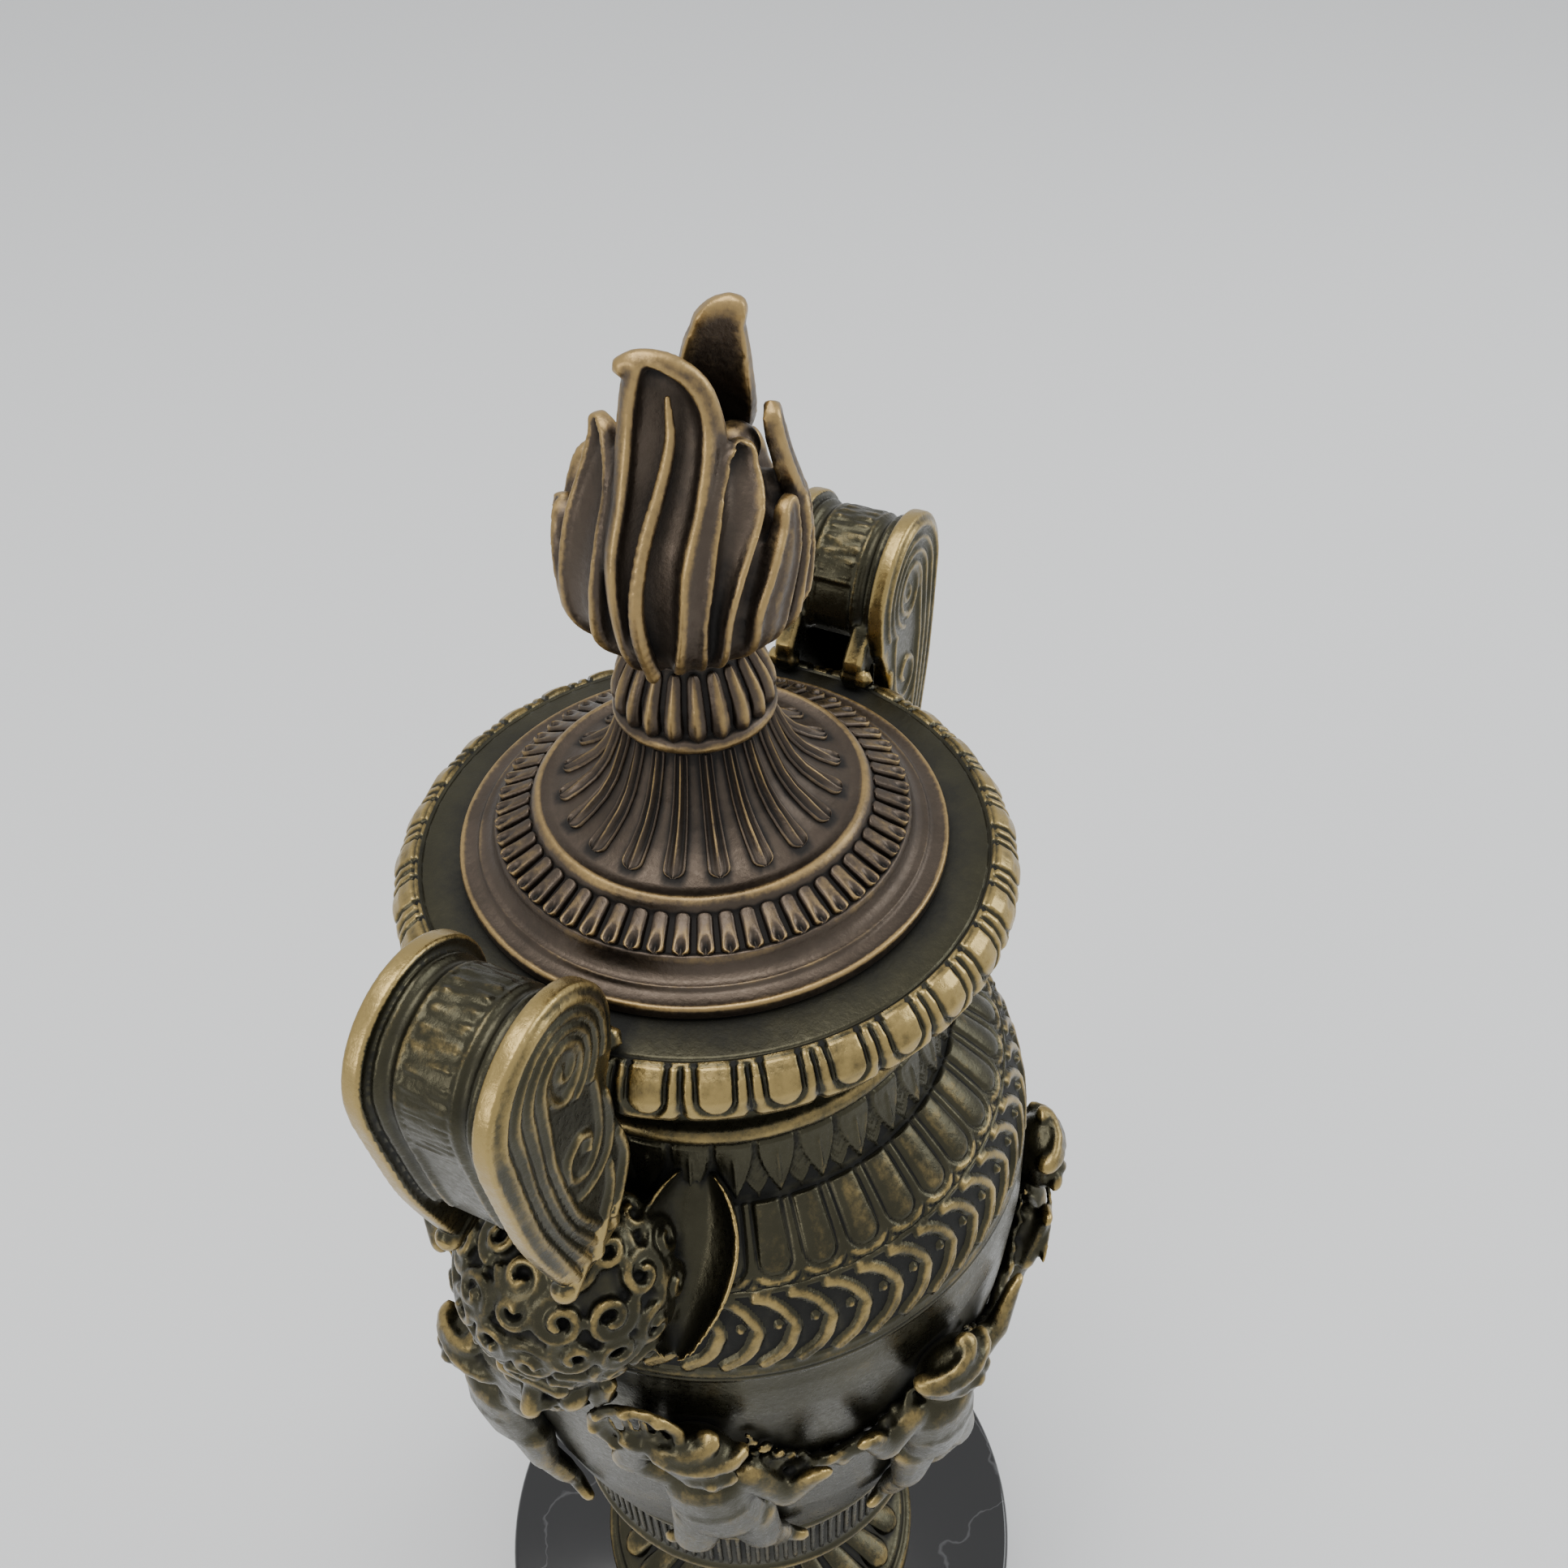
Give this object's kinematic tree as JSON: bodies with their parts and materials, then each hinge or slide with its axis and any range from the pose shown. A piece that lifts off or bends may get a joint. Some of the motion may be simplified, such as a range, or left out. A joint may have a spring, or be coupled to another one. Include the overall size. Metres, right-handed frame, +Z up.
{
  "type": "mantel urn",
  "caption": "Covered bronze urn with scroll handles, satyr masks, a putto frieze, leaf mouldings and a flame finial, on a round black marble plinth.",
  "frame": {"origin": "centre of the plinth's underside", "axes": "+Z up the urn's axis, +X through the right handle"},
  "size_m": [0.16, 0.1572, 0.441],
  "materials": {
    "dark_bronze": "bronze with a dark olive patina, rubbed to brass on the high points",
    "brown_bronze": "bronze with a brown patina, rubbed to brass on the high points",
    "black_marble": "polished black marble"
  },
  "bodies": {
    "root": {"plinth": "black_marble", "foot": "dark_bronze", "body": "dark_bronze", "handle_right": "dark_bronze", "handle_left": "dark_bronze", "lid": "brown_bronze", "collar": "brown_bronze", "flame": "brown_bronze"}
  },
  "joints": []
}
